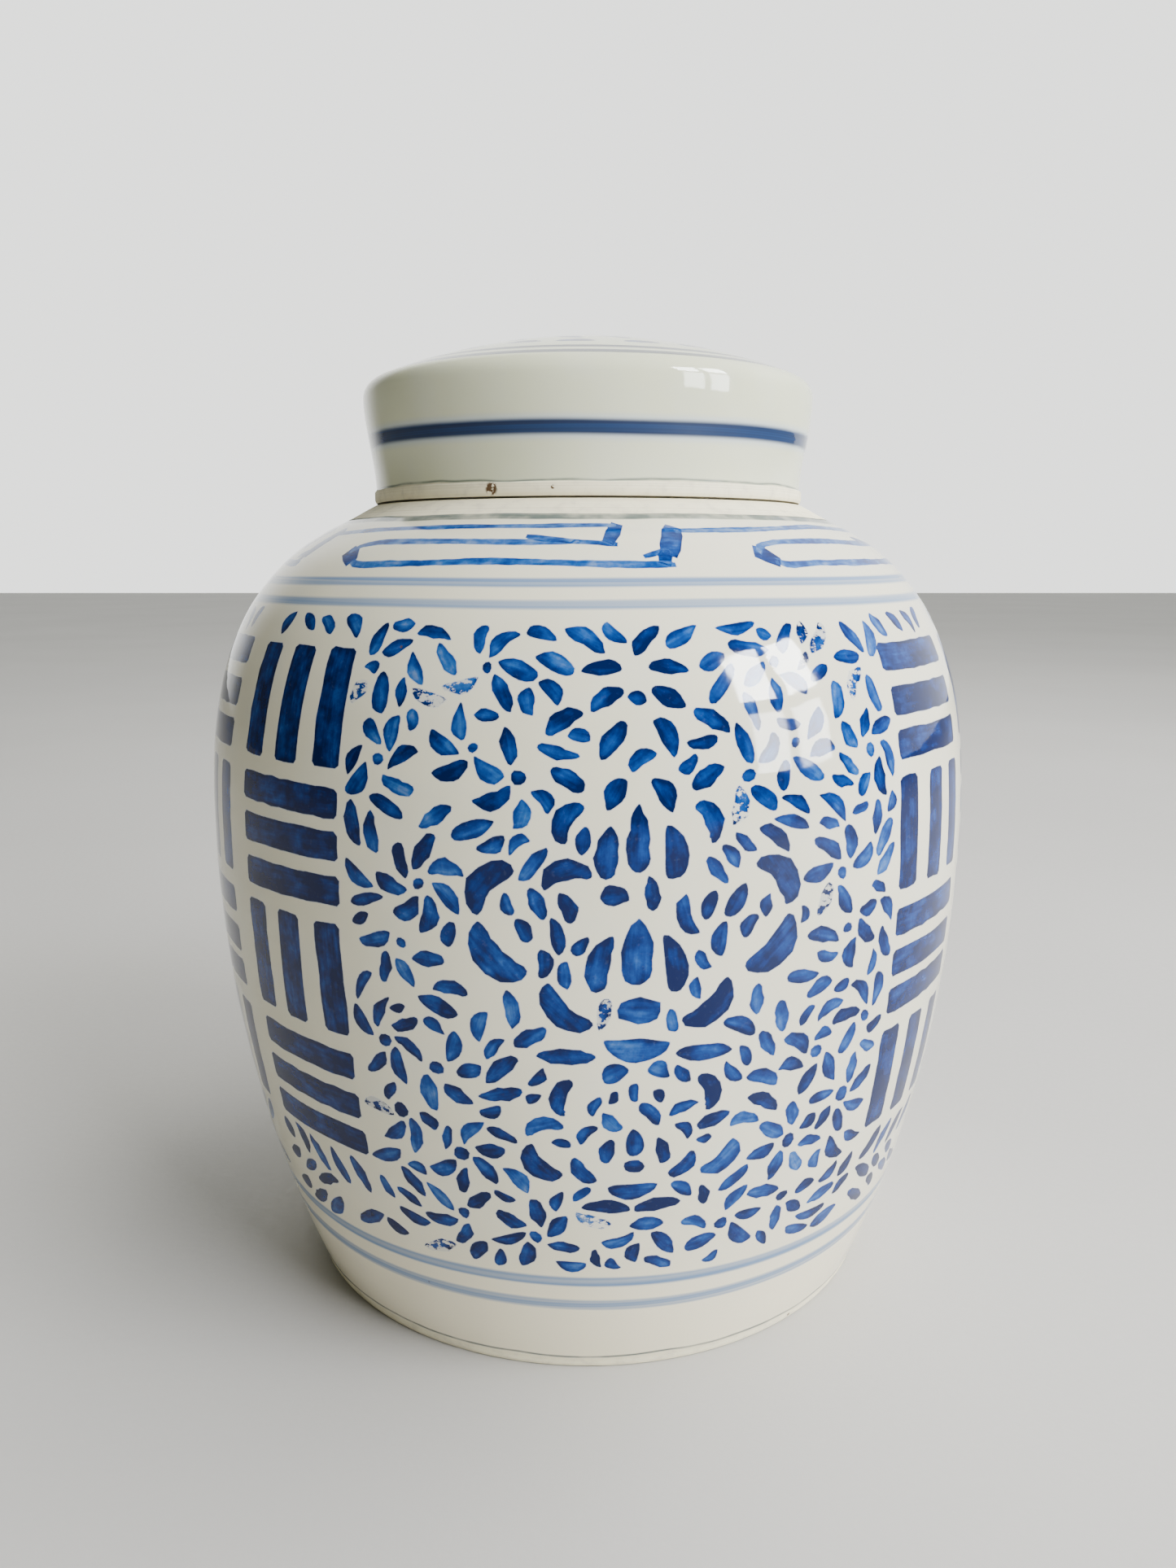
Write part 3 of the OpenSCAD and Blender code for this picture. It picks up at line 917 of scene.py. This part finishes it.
# ---------------------------------------------------------------- shading
class Shader:
    """Short names for the nodes of one material."""

    def __init__(self, name):
        self.material = bpy.data.materials.new(name)
        self.material.use_nodes = True
        self.tree = self.material.node_tree
        self.tree.nodes.clear()
        self.output = self.tree.nodes.new("ShaderNodeOutputMaterial")

    def put(self, kind, settings, inputs):
        node = self.tree.nodes.new(kind)
        for key, value in settings.items():
            setattr(node, key, value)
        for key, value in inputs.items():
            if isinstance(value, bpy.types.NodeSocket):
                self.tree.links.new(value, node.inputs[key])
            else:
                node.inputs[key].default_value = value
        return node

    def attribute(self, name):
        node = self.put("ShaderNodeAttribute", {"attribute_name": name}, {})
        return node.outputs["Vector"], node.outputs["Fac"]

    def split(self, vector):
        node = self.put("ShaderNodeSeparateXYZ", {}, {0: vector})
        return node.outputs[0], node.outputs[1], node.outputs[2]

    def join(self, x, y, z):
        return self.put("ShaderNodeCombineXYZ", {}, {0: x, 1: y, 2: z}).outputs[0]

    def math(self, operation, a, b=0.0, clamp=False):
        settings = {"operation": operation, "use_clamp": clamp}
        return self.put("ShaderNodeMath", settings, {0: a, 1: b}).outputs[0]

    def times(self, a, b):
        return self.math("MULTIPLY", a, b)

    def plus(self, a, b, clamp=False):
        return self.math("ADD", a, b, clamp)

    def minus(self, a, b, clamp=False):
        return self.math("SUBTRACT", a, b, clamp)

    def fit(self, value, low, high, out_low=0.0, out_high=1.0, smooth=True):
        """value from low to high becomes out_low to out_high, and stays there beyond."""
        settings = {"interpolation_type": "SMOOTHSTEP" if smooth else "LINEAR"}
        inputs = {0: value, 1: low, 2: high, 3: out_low, 4: out_high}
        return self.put("ShaderNodeMapRange", settings, inputs).outputs[0]

    def noise(self, vector, scale, detail=2.0, roughness=0.5):
        inputs = {"Vector": vector, "Scale": scale, "Detail": detail, "Roughness": roughness}
        return self.put("ShaderNodeTexNoise", {}, inputs).outputs["Fac"]

    def noise_along(self, value, scale, detail=2.0):
        inputs = {"W": value, "Scale": scale, "Detail": detail}
        return self.put("ShaderNodeTexNoise", {"noise_dimensions": "1D"}, inputs).outputs["Fac"]

    def scaled(self, vector, by):
        return self.put("ShaderNodeVectorMath", {"operation": "MULTIPLY"}, {0: vector, 1: by}).outputs[0]

    def mix(self, factor, a, b):
        node = self.tree.nodes.new("ShaderNodeMix")
        node.data_type = "RGBA"
        for socket, value in ((node.inputs[0], factor), (node.inputs[6], a), (node.inputs[7], b)):
            if isinstance(value, bpy.types.NodeSocket):
                self.tree.links.new(value, socket)
            elif isinstance(value, tuple):
                socket.default_value = (*value, 1.0)
            else:
                socket.default_value = value
        return node.outputs[2]

    def ramp(self, factor, stops):
        node = self.put("ShaderNodeValToRGB", {}, {0: factor})
        elements = node.color_ramp.elements
        while len(elements) < len(stops):
            elements.new(0.5)
        for element, (position, colour) in zip(elements, stops):
            element.position = position
            element.color = (*colour, 1.0)
        return node.outputs[0]

    def ring(self, path, centre, width, soft):
        """1 on a painted ring at that height of the wall, 0 off it."""
        away = self.math("ABSOLUTE", self.minus(path, centre))
        return self.fit(away, width / 2 - soft / 2, width / 2 + soft / 2, 1.0, 0.0)

    def between(self, path, start, end, soft):
        rise = self.fit(path, start - soft / 2, start + soft / 2)
        fall = self.fit(path, end - soft / 2, end + soft / 2, 1.0, 0.0)
        return self.times(rise, fall)

    def highest(self, values):
        result = values[0]
        for value in values[1:]:
            result = self.math("MAXIMUM", result, value)
        return result

    def voronoi(self, vector, scale):
        node = self.put("ShaderNodeTexVoronoi", {}, {"Vector": vector, "Scale": scale, "Randomness": 1.0})
        return node.outputs["Distance"], self.split(node.outputs["Color"])

    def finish(self, colour, rough, height, strength, distance):
        """The surface itself, with its relief."""
        inputs = {"Strength": strength, "Distance": distance, "Height": height}
        bump = self.put("ShaderNodeBump", {}, inputs).outputs[0]
        inputs = {"Base Color": colour, "Roughness": rough, "Normal": bump}
        surface = self.put("ShaderNodeBsdfPrincipled", {}, inputs)
        self.tree.links.new(surface.outputs[0], self.output.inputs[0])
        return surface


COBALT = [(0.0, (0.135, 0.215, 0.390)), (0.25, (0.028, 0.110, 0.330)), (0.5, (0.004, 0.048, 0.225)),
          (0.75, (0.001, 0.020, 0.130)), (1.0, (0.001, 0.008, 0.058))]
GLAZE = [(0.3, (0.695, 0.668, 0.510)), (0.5, (0.740, 0.710, 0.552)), (0.7, (0.770, 0.736, 0.582))]
LID_GLAZE = [(0.3, (0.560, 0.590, 0.410)), (0.5, (0.630, 0.650, 0.470)), (0.7, (0.670, 0.685, 0.520))]
CLAY = [(0.25, (0.745, 0.680, 0.470)), (0.55, (0.865, 0.810, 0.600)), (0.8, (0.900, 0.855, 0.655))]
RING_BLUE = (0.120, 0.215, 0.390)
LID_RING_BLUE = (0.003, 0.012, 0.060)
GLAZE_EDGE = (0.060, 0.090, 0.090)
# colour of the painted warm light bounced up from the floor onto the glaze near the foot
FOOT_BOUNCE_LIGHT = (0.880, 0.805, 0.600)
# near-black colour of the painted shade in the gap under the lid's rim
GAP_SHADE = (0.035, 0.026, 0.016)
BAND_BLUE = (0.000, 0.010, 0.052)
HALO_BLUE = (0.280, 0.400, 0.700)
SPECK = (0.100, 0.055, 0.025)
BAND_MOTTLE = (0.001, 0.030, 0.125)
GLAZE_CLOUD = (0.640, 0.665, 0.610)
CLAY_DUST = (0.500, 0.450, 0.360)
GLAZE_IOR = 1.31          # less than a real glaze's, so that the floor's reflection doesn't veil the cobalt


def specks(sh, place, scale, size, channel, share):
    """1 on small round specks, which lie in some of the cells that the surface is divided into."""
    distance, cell = sh.voronoi(place, scale)
    speck = sh.fit(distance, size[0], size[1], 1.0, 0.0)
    return sh.times(speck, sh.fit(cell[channel], share[0], share[1]))


def glaze_colour(sh, place, path, tones, foot_bounce_light):
    """Off-white glaze whose colour wanders, with painted warm light bounced up from the floor, which makes it
    brighter and creamier towards the foot.
    """
    glaze = sh.ramp(sh.noise(place, 16.0, 3.0), tones)
    cloud = sh.noise(place, 55.0, 4.0, 0.6)
    glaze = sh.mix(sh.fit(cloud, 0.42, 0.72, 0.0, 0.22), glaze, GLAZE_CLOUD)
    # painted warm bounce light from the floor: the glaze is made brighter and creamier towards the foot
    return sh.mix(sh.fit(path, 8.0, 60.0, foot_bounce_light, 0.0), glaze, FOOT_BOUNCE_LIGHT)


def brushwork(sh, place, fine):
    """The strokes: their colour, where they are, and where they have bled into the glaze.

    They are streaked along the brush, darker where the cobalt pooled, and broken where the brush was dry."""
    ink, pool, tone = sh.split(sh.attribute("paint")[0])
    along, across, number = sh.split(sh.attribute("stroke")[0])
    dry = sh.attribute("dry")[1]
    seed = sh.times(number, 97.0)
    streak = sh.noise(sh.join(sh.times(along, 0.12), sh.times(across, 0.9), seed), 1.0, 2.0, 0.5)
    wash = sh.noise(sh.join(sh.times(along, 0.16), sh.times(across, 0.22), seed), 1.0, 1.0)
    mottle = sh.noise(place, 480.0, 3.0, 0.6)
    strength = sh.plus(tone, sh.fit(streak, 0.32, 0.68, -0.13, 0.12, False))
    strength = sh.plus(strength, sh.fit(wash, 0.35, 0.65, -0.20, 0.16, False))
    strength = sh.plus(strength, sh.fit(mottle, 0.32, 0.68, -0.11, 0.11, False))
    strength = sh.plus(strength, sh.times(pool, 0.20), True)
    bristles = sh.noise(sh.scaled(place, (430.0, 430.0, 620.0)), 1.0, 4.0, 0.65)
    wet = sh.minus(1.0, sh.times(dry, sh.fit(bristles, 0.47, 0.54)), True)
    edge = sh.plus(ink, sh.fit(fine, 0.3, 0.7, -0.08, 0.08, False))
    inked = sh.times(sh.fit(edge, 0.46, 0.96), wet)
    bled = sh.times(sh.fit(ink, 0.0, 0.9), 0.42)
    bled = sh.times(bled, sh.fit(wet, 0.0, 1.0, 0.35, 1.0))
    return sh.ramp(strength, COBALT), inked, bled


def wheel_rings(sh, place, path, colour, ring_blue, rings, bands):
    """Adds the rings and dark bands that are drawn on the turning wheel, which sway and smear a little."""
    swayed = sh.plus(path, sh.fit(sh.noise(place, 9.0, 1.0), 0.3, 0.7, -0.7, 0.7, False))
    smear = sh.noise(sh.join(sh.times(path, 0.9), sh.noise(place, 5.0), 0.0), 1.0, 3.0)
    density = sh.fit(smear, 0.30, 0.62, 0.62, 0.95, False)
    drawn = sh.highest([sh.ring(swayed, at, width, 0.9) for at, width in rings])
    colour = sh.mix(sh.times(drawn, density), colour, ring_blue)
    if bands:
        mottled = sh.mix(sh.fit(smear, 0.38, 0.70), BAND_BLUE, BAND_MOTTLE)
        haze = sh.highest([sh.ring(swayed, at, width + 1.8, 2.4) for at, width in bands])
        drawn = sh.highest([sh.ring(swayed, at, width, 1.3) for at, width in bands])
        colour = sh.mix(sh.times(haze, 0.40), colour, HALO_BLUE)
        colour = sh.mix(sh.times(drawn, 0.97), colour, mottled)
    return colour


def clay_colour(sh, turning, dust, pit):
    """Bare clay, with faint rings from the turning tool, dust and small dark pits."""
    clay = sh.ramp(turning, CLAY)
    clay = sh.mix(sh.fit(dust, 0.45, 0.75, 0.0, 0.4), clay, CLAY_DUST)
    return sh.mix(pit, clay, SPECK)


def relief(sh, place, bare, spot, turning, dust, pit):
    """Height of the surface in mm: smooth glaze over throwing rings, or tooled clay a little below it."""
    height = sh.split(place)[2]
    peel = sh.times(sh.noise(place, 210.0, 2.0), 0.020)
    throwing = sh.times(sh.noise_along(height, 150.0, 2.0), 0.055)
    smooth = sh.minus(sh.plus(peel, throwing), sh.times(spot, 0.05))
    tooled = sh.plus(sh.times(turning, 0.16), sh.times(dust, 0.05))
    tooled = sh.minus(tooled, sh.times(pit, 0.15))
    covered = sh.minus(1.0, bare)
    level = sh.plus(sh.times(smooth, covered), sh.times(tooled, bare))
    return sh.plus(level, sh.times(covered, 0.12))


def porcelain(name, glaze_tones, foot_bounce_light, ring_blue, rings, bands, edges, bare_stretches,
              shaded_gaps, chips):
    """Off-white glaze over cobalt painting, with bare clay on some stretches.

    rings and bands are (height along the wall, width); bands are the dark ones. edges are where the glaze
    ends in a greenish line. bare_stretches are (start, end) of what has no glaze, and crevices of where shade
    is painted near-black, with some dirt, in the gap under the lid's rim. chips are (place, radius) of small
    rusty chips, in metres."""
    sh = Shader(name)
    place = sh.put("ShaderNodeTexCoord", {}, {}).outputs["Object"]
    path = sh.attribute("path")[1]
    fine = sh.noise(place, 900.0, 2.0)
    dust = sh.noise(place, 260.0, 3.0, 0.6)
    turning = sh.noise_along(path, 1.7, 4.0)
    spot = specks(sh, place, 52.0, (0.018, 0.034), 0, (0.80, 0.84))
    pit = specks(sh, place, 190.0, (0.06, 0.12), 1, (0.86, 0.90))

    cobalt, inked, bled = brushwork(sh, place, fine)
    colour = glaze_colour(sh, place, path, glaze_tones, foot_bounce_light)
    colour = wheel_rings(sh, place, path, colour, ring_blue, rings, bands)
    colour = sh.mix(bled, colour, HALO_BLUE)
    colour = sh.mix(inked, colour, cobalt)
    colour = sh.mix(spot, colour, SPECK)

    # where the glaze stops, which wavers, and the greenish line where it thickens at its edge
    lapped = sh.plus(path, sh.fit(sh.noise(place, 38.0, 2.0), 0.3, 0.7, -0.55, 0.55, False))
    bare = sh.highest([sh.between(lapped, start, end, 0.5) for start, end in bare_stretches])
    colour = sh.mix(bare, colour, clay_colour(sh, turning, dust, pit))
    edge_line = sh.highest([sh.ring(lapped, at, width, 0.7) for at, width in edges])
    broken = sh.fit(sh.noise(place, 120.0, 3.0), 0.3, 0.6, 0.60, 0.95)
    colour = sh.mix(sh.times(edge_line, broken), colour, GLAZE_EDGE)
    # painted shade: the gap under the lid's rim, where it rests on the seat, is darkened nearly black
    if shaded_gaps:
        gap_shade = sh.highest([sh.between(path, start, end, 0.3) for start, end in shaded_gaps])
        colour = sh.mix(sh.times(gap_shade, 0.92), colour, GAP_SHADE)
    for where, radius in chips:
        away = sh.put("ShaderNodeVectorMath", {"operation": "DISTANCE"}, {0: place, 1: where})
        chipped = sh.fit(away.outputs["Value"], radius * 0.6, radius, 1.0, 0.0)
        colour = sh.mix(sh.times(chipped, sh.fit(fine, 0.44, 0.52)), colour, SPECK)

    gloss = sh.fit(sh.noise(place, 70.0, 3.0), 0.3, 0.7, 0.03, 0.075, False)
    matt = sh.fit(dust, 0.3, 0.7, 0.62, 0.86, False)
    rough = sh.plus(gloss, sh.times(bare, sh.minus(matt, gloss)))
    surface = sh.finish(colour, rough, relief(sh, place, bare, spot, turning, dust, pit), 1.0, MM)
    surface.inputs["IOR"].default_value = GLAZE_IOR
    return sh.material


# ---------------------------------------------------------------- the jar
def painted_third(section, rng):
    """The third of the wall that is repeated, from the foot up to the fret."""
    def radius_at(s):
        return float(section.at(s)[0])

    canvas = Canvas(radius_at, (THIRD_X - 2, THIRD_X + 1.5 * PITCH + 2), (0, 200))
    paint_flowers(canvas, rng)
    paint_scroll(canvas, rng)
    paint_columns(canvas, THIRD_X + PITCH, rng)
    paint_garland(canvas, THIRD_X + PITCH, rng)
    for mark in canvas.marks:
        if mark.x > THIRD_X + PITCH:
            mark.x -= PITCH
    levels = np.linspace(0, FRET_BASE, 46)
    border = rectangle(THIRD_X, THIRD_X + PITCH, COLUMNS // REPEATS, levels)
    grid = lattice(THIRD_X, THIRD_X + PITCH, 0, FRET_BASE, LATTICE, rng)
    return imprint(canvas.marks, border, grid, rng)


def make_jar():
    rng = random.Random(7)
    section = jar_section()
    bottom = section.path[0]
    top = section.path_near((SEAT_R, SEAT_Z))
    end = section.path[-1]
    third = painted_third(section, rng)
    patches = []
    cells = []
    half = 0.5
    pad = 0.006
    wide = half - 2 * pad
    right = half + pad
    for k in range(REPEATS):
        flat = third.flat + (k * PITCH, 0)
        paint = third.paint.copy()
        other = (k > 0) * 0.12 * np.sin(paint[:, 6] * 91.7 * (k + 1))
        paint[:, 2] = np.clip(paint[:, 2] + other, 0.05, 1)
        patches.append(Patch(flat, paint, third.faces, third.fixed))
        x0 = THIRD_X + k * PITCH
        cells.append((pad + half * (k % 2), pad + half * (k // 2), wide, wide * 0.81,
                      x0, x0 + PITCH, 0.0, FRET_BASE))
    seam = THIRD_X + GIRTH * 2 / 3
    marks = fret_marks(seam, rng)
    border = rectangle(seam, seam + GIRTH, COLUMNS, np.linspace(FRET_BASE, top, 11))
    grid = lattice(seam, seam + GIRTH, FRET_BASE, top, LATTICE, rng)
    patches.append(imprint(marks, border, grid, rng))
    cells.append((right, half + 0.22, wide, 0.27 - pad, seam, seam + GIRTH, FRET_BASE, top))
    patches.append(turned(section, bottom, 0.0, THIRD_X))
    cells.append((right, half + pad, wide, 0.05, THIRD_X, THIRD_X + GIRTH, bottom, 0.0))
    patches.append(turned(section, top, end, THIRD_X))
    cells.append((right, half + 0.065, wide, 0.145, THIRD_X, THIRD_X + GIRTH, top, end))
    jar = build("jar_visual", section, uneven_jar, patches, cells)
    ring_top = section.path_near((FOOT_R - FOOT_RING_W, FOOT_ROUND))
    lip_inside = section.path_near((MOUTH_R, LIP_Z - 8), after=top + 30)
    shoulder_end = section.path_near((SHOULDER_R, SHOULDER_Z))
    jar.data.materials.append(porcelain(
        "jar_glaze",
        GLAZE,
        # how strongly the painted warm bounce light brightens the glaze near the foot
        0.80,
        RING_BLUE,
        rings=[(31.0, 3.0), (23.2, 3.2), (191.2, 2.3), (197.0, 2.5)],
        bands=[],
        edges=[(shoulder_end - 0.8, 3.0), (3.0, 0.7)],
        bare_stretches=[(ring_top, 2.2), (shoulder_end, lip_inside)],
        shaded_gaps=[],
        chips=[]))
    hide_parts("jar_body")
    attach(jar, "jar")


# ---------------------------------------------------------------- the lid
# The dome's rings of strokes: how many, how far out, length, width, and turn in degrees
LID_RINGS = [(5, 5.4, 5.4, 3.0, 0), (9, 13.6, 7.0, 3.2, 62), (13, 24.0, 7.6, 3.4, -50),
             (18, 36.6, 7.8, 3.6, 55), (19, 45.4, 9.6, 4.2, 90)]
LID_REACH = 50.0          # how far out the painted disc on the dome goes


def make_lid():
    rng = random.Random(19)
    section = lid_section()
    marks = []
    for count, radius, length, width, turn in LID_RINGS:
        for k in range(count):
            angle = TAU * (k + 0.3 * rng.random()) / count
            shape = leaf(length * rng.uniform(0.9, 1.1), width, 0.4, 0.5, rng.uniform(-0.5, 0.5))
            x = radius * math.cos(angle)
            y = radius * math.sin(angle)
            shape = shaky(shape, rng, 0.12)
            marks.append(Mark(shape, x, y, angle + math.radians(turn), 0.9 - 0.15 * rng.random()))
    marks.append(Mark(shaky(dot(3.0, 2.7), rng), 0, 0, 0, 0.7))
    angles = np.arange(COLUMNS) * TAU / COLUMNS
    border = LID_REACH * np.c_[np.sin(angles), -np.cos(angles)]
    steps = np.arange(-50.4, 50.5, 4.2)
    grid = np.array([(x, y) for x in steps for y in steps if math.hypot(x, y) < LID_REACH - 1.5])
    grid += (0.31, 0.17)
    disc = imprint(marks, border, grid, rng)
    theta = np.arctan2(disc.flat[:, 0], -disc.flat[:, 1])
    disc.flat = np.c_[theta * BELLY_R, np.hypot(disc.flat[:, 0], disc.flat[:, 1])]
    disc.flat[disc.fixed, 1] = LID_REACH
    end = section.path[-1]
    patches = [disc, turned(section, LID_REACH, end, 0.0)]
    outer = section.path_near((LID_BEAD_R, RIM_Z + 1.2))
    pad = 0.01
    cells = [(0.66, 0.66, 0.33, 0.33, 0.0, None, 0.0, LID_REACH),
             (pad, pad, 1 - 2 * pad, 0.62, 0.0, GIRTH, LID_REACH, end)]
    lid = build("lid_visual", section, uneven_lid, patches, cells)
    band = section.path_near((LID_R - 1.4, 225.6))
    bead_top = section.path_near((LID_BEAD_R - LID_BEAD_STEP, RIM_Z + LID_BEAD_H))
    lid.data.materials.append(porcelain(
        "lid_glaze",
        LID_GLAZE,
        0.0,
        LID_RING_BLUE,
        rings=[(section.path_reaching(56.4), 3.0), (section.path_reaching(52.2), 2.6),
               (section.path_reaching(30.4), 1.4)],
        bands=[(band, 3.5)],
        edges=[(bead_top - 0.3, 0.4)],
        bare_stretches=[(bead_top, end + 50)],
        # where the painted shade of the gap under the rim lies
        shaded_gaps=[(outer + 1.1, outer + 2.6)],
        chips=[((-0.0228, -0.0543, 0.2125), 0.0019), ((-0.0082, -0.0583, 0.2127), 0.0006)]))
    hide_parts("lid")
    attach(lid, "lid")


# ---------------------------------------------------------------- floor, light and camera
def make_floor():
    """A pale, plain floor."""
    size = 6.0
    cuts = 24
    step = np.linspace(-size, size, cuts + 1)
    points = [(x, y, 0.0) for y in step for x in step]
    wide = cuts + 1
    faces = [(j * wide + k, j * wide + k + 1, (j + 1) * wide + k + 1, (j + 1) * wide + k)
             for j in range(cuts) for k in range(cuts)]
    mesh = bpy.data.meshes.new("floor")
    mesh.from_pydata(points, [], faces)
    mesh.update()
    floor = add_object("floor", mesh)
    sh = Shader("floor_paint")
    place = sh.put("ShaderNodeTexCoord", {}, {}).outputs["Object"]
    soft = sh.noise(place, 3.0, 3.0)
    colour = sh.ramp(soft, [(0.3, (0.430, 0.420, 0.402)), (0.7, (0.465, 0.456, 0.438))])
    grain = sh.noise(place, 420.0, 3.0)
    rough = sh.fit(grain, 0.3, 0.7, 0.55, 0.70, False)
    sh.finish(colour, rough, grain, 0.3, 0.2 * MM)
    mesh.materials.append(sh.material)


def make_light(name, place, target, size, energy, colour):
    data = bpy.data.lights.new(name, "AREA")
    data.shape = "RECTANGLE"
    data.size = size[0]
    data.size_y = size[1]
    data.energy = energy
    data.color = colour
    light = add_object(name, data)
    light.location = place
    light.rotation_euler = (Vector(target) - Vector(place)).to_track_quat("-Z", "Y").to_euler()
    return light


# The middle of the jar, which every lamp points at
MIDDLE = (0.0, 0.0, 0.13)

# The world is dark on one side and light behind the jar: the way from dark to light, and its two colours
WORLD_AXIS = (0.34, 0.94, 0.05)
WORLD_DARK = (0.062, 0.063, 0.048, 1.0)
WORLD_LIGHT = (1.080, 1.090, 1.060, 1.0)
WORLD_STRENGTH = 1.9

# Soft lamps that aren't seen as reflections: name, place, size, power in watts, colour
LAMPS = [("key", (1.15, -0.85, 0.95), (1.1, 1.1), 67.0, (0.97, 0.98, 1.0)),
         ("overhead", (0.9, 0.1, 1.75), (1.6, 1.4), 42.0, (1.0, 0.99, 0.97)),
         ("fill", (-1.4, -1.3, 0.9), (1.4, 1.4), 0.8, (1.0, 0.98, 0.93))]

# The window, seen only as a reflection: how far off it is, the ways towards, along and up it, the size of a
# pane, half the distance between panes, and the power of the upper and lower ones
WINDOW_AWAY = 1.25
WINDOW_TO = np.array((0.790, -0.493, 0.365))
WINDOW_ALONG = np.array((0.529, 0.848, 0.0))
WINDOW_UP = np.array((-0.310, 0.193, 0.931))
PANE = (0.23, 0.33)
PANE_APART = (0.15, 0.205)
PANE_POWER = {1: 34.0, -1: 15.0}
PANE_COLOUR = (0.93, 0.97, 1.0)

# The camera's place in metres, its tilt up from straight down in degrees, and its lens in mm
CAMERA_AT = (0.0, -0.340, 0.1971)
CAMERA_TILT = 79.0
CAMERA_LENS = 27.03


def make_world():
    world = bpy.data.worlds.new("studio")
    world.use_nodes = True
    tree = world.node_tree
    back = tree.nodes["Background"]
    place = tree.nodes.new("ShaderNodeTexCoord")
    split = tree.nodes.new("ShaderNodeVectorMath")
    split.operation = "DOT_PRODUCT"
    split.inputs[1].default_value = WORLD_AXIS
    side = tree.nodes.new("ShaderNodeMapRange")
    side.interpolation_type = "SMOOTHSTEP"
    side.inputs[1].default_value = 0.25
    side.inputs[2].default_value = 0.68
    tint = tree.nodes.new("ShaderNodeMix")
    tint.data_type = "RGBA"
    tint.inputs[6].default_value = WORLD_DARK
    tint.inputs[7].default_value = WORLD_LIGHT
    tree.links.new(place.outputs["Generated"], split.inputs[0])
    tree.links.new(split.outputs["Value"], side.inputs[0])
    tree.links.new(side.outputs[0], tint.inputs[0])
    tree.links.new(tint.outputs[2], back.inputs[0])
    back.inputs[1].default_value = WORLD_STRENGTH
    bpy.context.scene.world = world


def make_lights():
    """Three soft lamps, and a window of four panes up on the right."""
    for column in (-1, 1):
        for row in (-1, 1):
            place = np.array(MIDDLE) + WINDOW_AWAY * WINDOW_TO
            place = place + column * PANE_APART[0] * WINDOW_ALONG + row * PANE_APART[1] * WINDOW_UP
            name = "pane_%d_%d" % (column + 2, row + 2)
            pane = make_light(name, tuple(place), MIDDLE, PANE, PANE_POWER[row], PANE_COLOUR)
            pane.visible_diffuse = False
    for name, place, size, energy, colour in LAMPS:
        lamp = make_light(name, place, MIDDLE, size, energy, colour)
        lamp.visible_glossy = False


def make_camera():
    data = bpy.data.cameras.new("camera")
    data.sensor_width = 36.0
    data.lens = CAMERA_LENS
    data.clip_start = 0.02
    data.clip_end = 50.0
    camera = add_object("camera", data)
    camera.location = CAMERA_AT
    camera.rotation_euler = (math.radians(CAMERA_TILT), 0.0, 0.0)
    bpy.context.scene.camera = camera


make_jar()
make_lid()
make_floor()
make_world()
make_lights()
make_camera()
